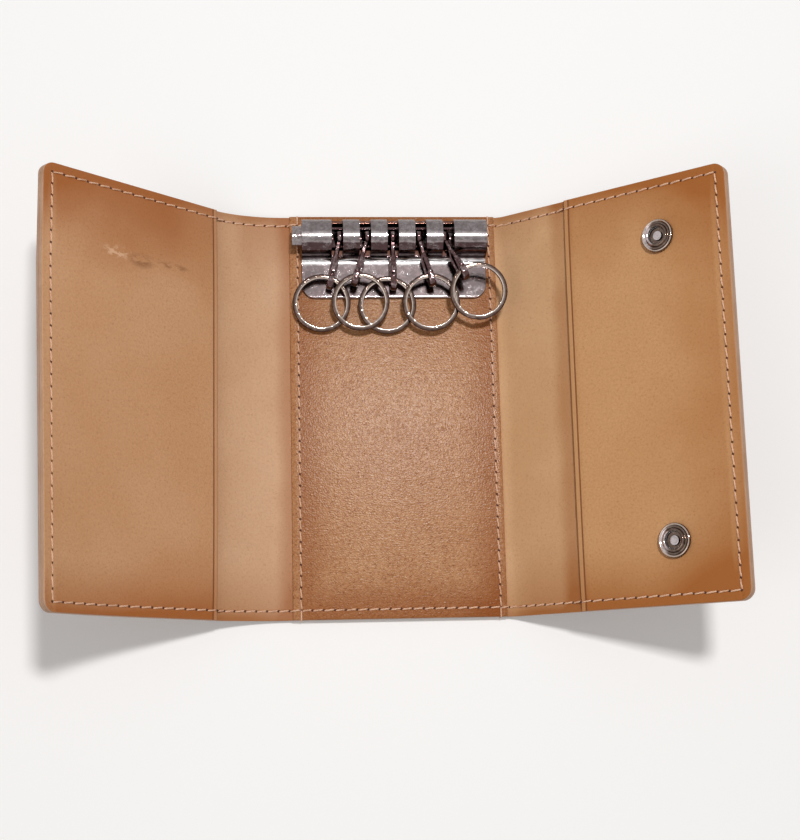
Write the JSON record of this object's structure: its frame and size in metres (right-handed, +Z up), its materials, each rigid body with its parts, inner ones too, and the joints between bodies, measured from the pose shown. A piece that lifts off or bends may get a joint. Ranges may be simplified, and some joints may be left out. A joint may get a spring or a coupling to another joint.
{
  "type": "three-fold key case",
  "caption": "Three-fold leather key case lying open, with two slip pockets, snap closure and a slotted key bar that holds hooks and split rings",
  "frame": {"origin": "middle of the centre field, on the surface that the open case rests on", "axes": "+X to the right across the open case, +Y toward the edge with the key bar, +Z up from the surface"},
  "size_m": [0.164, 0.105, 0.0448],
  "materials": {
    "outer_leather": "tan veg-tanned outer leather, burnished edges",
    "lining_leather": "natural veg-tanned lining, smooth and matt",
    "pocket_leather": "natural veg-tanned leather, darker toward the edges",
    "patch_leather": "tan leather burnished toward its edges",
    "antique_nickel": "nickel plate, slightly darkened and scratched",
    "ring_nickel": "nickel-plated spring wire",
    "snap_nickel": "nickel-plated brass, worn",
    "plain_steel": "plain steel, hidden"
  },
  "bodies": {
    "case_centre": {"outer_centre": "outer_leather", "lining_centre": "lining_leather", "centre_patch": "patch_leather", "key_bar": "antique_nickel", "bar_backing_plate": "plain_steel", "slide_spring": "plain_steel"},
    "left_spine": {"outer_left_spine": "outer_leather", "lining_left_spine": "lining_leather"},
    "left_flap": {"outer_left_flap": "outer_leather", "lining_left_flap": "lining_leather", "left_pocket": "pocket_leather", "snap_stud_upper": "snap_nickel", "snap_stud_lower": "snap_nickel", "snap_stud_back_upper": "plain_steel", "snap_stud_back_lower": "plain_steel"},
    "right_spine": {"outer_right_spine": "outer_leather", "lining_right_spine": "lining_leather"},
    "right_flap": {"outer_right_flap": "outer_leather", "lining_right_flap": "lining_leather", "right_pocket": "pocket_leather", "snap_socket_upper": "snap_nickel", "snap_socket_lower": "snap_nickel", "snap_cap_upper": "snap_nickel", "snap_cap_lower": "snap_nickel", "snap_spring_upper": "plain_steel", "snap_spring_lower": "plain_steel"},
    "slide": {"release_slide": "antique_nickel"},
    "hook_1_body": {"hook_1": "antique_nickel"},
    "hook_2_body": {"hook_2": "antique_nickel"},
    "hook_3_body": {"hook_3": "antique_nickel"},
    "hook_4_body": {"hook_4": "antique_nickel"},
    "hook_5_body": {"hook_5": "antique_nickel"},
    "gate_1": {"hook_gate_1": "antique_nickel"},
    "gate_2": {"hook_gate_2": "antique_nickel"},
    "gate_3": {"hook_gate_3": "antique_nickel"},
    "gate_4": {"hook_gate_4": "antique_nickel"},
    "gate_5": {"hook_gate_5": "antique_nickel"},
    "ring_1_body": {"ring_1": "ring_nickel"},
    "ring_2_body": {"ring_2": "ring_nickel"},
    "ring_3_body": {"ring_3": "ring_nickel"},
    "ring_4_body": {"ring_4": "ring_nickel"},
    "ring_5_body": {"ring_5": "ring_nickel"}
  },
  "joints": [
    {"name": "left_spine_fold", "type": "hinge", "parent": "case_centre", "child": "left_spine", "pos_m": [-0.0284, 0, 0.00045], "axis": [0, 1, 0], "range_deg": [0, 74]},
    {"name": "left_flap_fold", "type": "hinge", "parent": "left_spine", "child": "left_flap", "pos_m": [-0.04538, 0, 0.00532], "axis": [0, 1, 0], "range_deg": [-43.3, 67.08]},
    {"name": "right_spine_fold", "type": "hinge", "parent": "case_centre", "child": "right_spine", "pos_m": [0.0284, 0, 0.00045], "axis": [0, -1, 0], "range_deg": [-40.8, 34.2]},
    {"name": "right_flap_fold", "type": "hinge", "parent": "right_spine", "child": "right_flap", "pos_m": [0.04256, 0, 0.01267], "axis": [0, -1, 0], "range_deg": [0, 100.62]},
    {"name": "slide_press", "type": "slide", "parent": "case_centre", "child": "slide", "axis": [1, 0, 0], "range_m": [0, 0.0022], "stiffness_N_per_m": 300, "springref_m": -0.002, "deforming": ["slide_spring"]},
    {"name": "hook_1_lift", "type": "hinge", "parent": "case_centre", "child": "hook_1_body", "pos_m": [-0.0141, 0.0457, 0.0064], "axis": [1, 0, 0], "range_deg": [-115, 0]},
    {"name": "hook_2_lift", "type": "hinge", "parent": "case_centre", "child": "hook_2_body", "pos_m": [-0.0069, 0.0457, 0.0064], "axis": [1, 0, 0], "range_deg": [-115, 0]},
    {"name": "hook_3_lift", "type": "hinge", "parent": "case_centre", "child": "hook_3_body", "pos_m": [-0.0004, 0.0457, 0.0064], "axis": [1, 0, 0], "range_deg": [-115, 0]},
    {"name": "hook_4_lift", "type": "hinge", "parent": "case_centre", "child": "hook_4_body", "pos_m": [0.00635, 0.0457, 0.0064], "axis": [1, 0, 0], "range_deg": [-115, 0]},
    {"name": "hook_5_lift", "type": "hinge", "parent": "case_centre", "child": "hook_5_body", "pos_m": [0.01285, 0.0457, 0.0064], "axis": [1, 0, 0], "range_deg": [-115, 0]},
    {"name": "gate_1_press", "type": "hinge", "parent": "hook_1_body", "child": "gate_1", "pos_m": [-0.01506, 0.04113, 0.00675], "axis": [0.9781, -0.2065, -0.0237], "range_deg": [0, 14], "stiffness_Nm_per_rad": 0.002, "springref_deg": -11.46},
    {"name": "gate_2_press", "type": "hinge", "parent": "hook_2_body", "child": "gate_2", "pos_m": [-0.00817, 0.04132, 0.00748], "axis": [0.9613, -0.2753, 0.0127], "range_deg": [0, 14], "stiffness_Nm_per_rad": 0.002, "springref_deg": -11.46},
    {"name": "gate_3_press", "type": "hinge", "parent": "hook_3_body", "child": "gate_3", "pos_m": [-0.0004, 0.04103, 0.00674], "axis": [1, 0, 0], "range_deg": [0, 14], "stiffness_Nm_per_rad": 0.002, "springref_deg": -11.46},
    {"name": "gate_4_press", "type": "hinge", "parent": "hook_4_body", "child": "gate_4", "pos_m": [0.00746, 0.04128, 0.00747], "axis": [0.9703, 0.2417, -0.0107], "range_deg": [0, 14], "stiffness_Nm_per_rad": 0.002, "springref_deg": -11.46},
    {"name": "gate_5_press", "type": "hinge", "parent": "hook_5_body", "child": "gate_5", "pos_m": [0.01457, 0.04175, 0.00822], "axis": [0.9272, 0.3648, -0.0853], "range_deg": [0, 14], "stiffness_Nm_per_rad": 0.002, "springref_deg": -11.46},
    {"name": "ring_1_tip", "type": "hinge", "parent": "hook_1_body", "child": "ring_1_body", "pos_m": [-0.01645, 0.03459, 0.00626], "axis": [1, 0, 0], "range_deg": [-35, 0]},
    {"name": "ring_2_tip", "type": "hinge", "parent": "hook_2_body", "child": "ring_2_body", "pos_m": [-0.01001, 0.0349, 0.00803], "axis": [1, 0, 0], "range_deg": [-35, 0]},
    {"name": "ring_3_tip", "type": "hinge", "parent": "hook_3_body", "child": "ring_3_body", "pos_m": [-0.0004, 0.03435, 0.00622], "axis": [1, 0, 0], "range_deg": [-35, 0]},
    {"name": "ring_4_tip", "type": "hinge", "parent": "hook_4_body", "child": "ring_4_body", "pos_m": [0.00908, 0.0348, 0.00801], "axis": [1, 0, 0], "range_deg": [-35, 0]},
    {"name": "ring_5_tip", "type": "hinge", "parent": "hook_5_body", "child": "ring_5_body", "pos_m": [0.01708, 0.03575, 0.00988], "axis": [1, 0, 0], "range_deg": [-35, 0]}
  ],
  "couplings": [
    {"joint": "hook_1_lift", "follows": "hook_3_lift", "ratio": 1},
    {"joint": "hook_2_lift", "follows": "hook_3_lift", "ratio": 1},
    {"joint": "hook_4_lift", "follows": "hook_3_lift", "ratio": 1},
    {"joint": "hook_5_lift", "follows": "hook_3_lift", "ratio": 1},
    {"joint": "ring_1_tip", "follows": "ring_3_tip", "ratio": 1},
    {"joint": "ring_2_tip", "follows": "ring_3_tip", "ratio": 1},
    {"joint": "ring_4_tip", "follows": "ring_3_tip", "ratio": 1},
    {"joint": "ring_5_tip", "follows": "ring_3_tip", "ratio": 1}
  ]
}
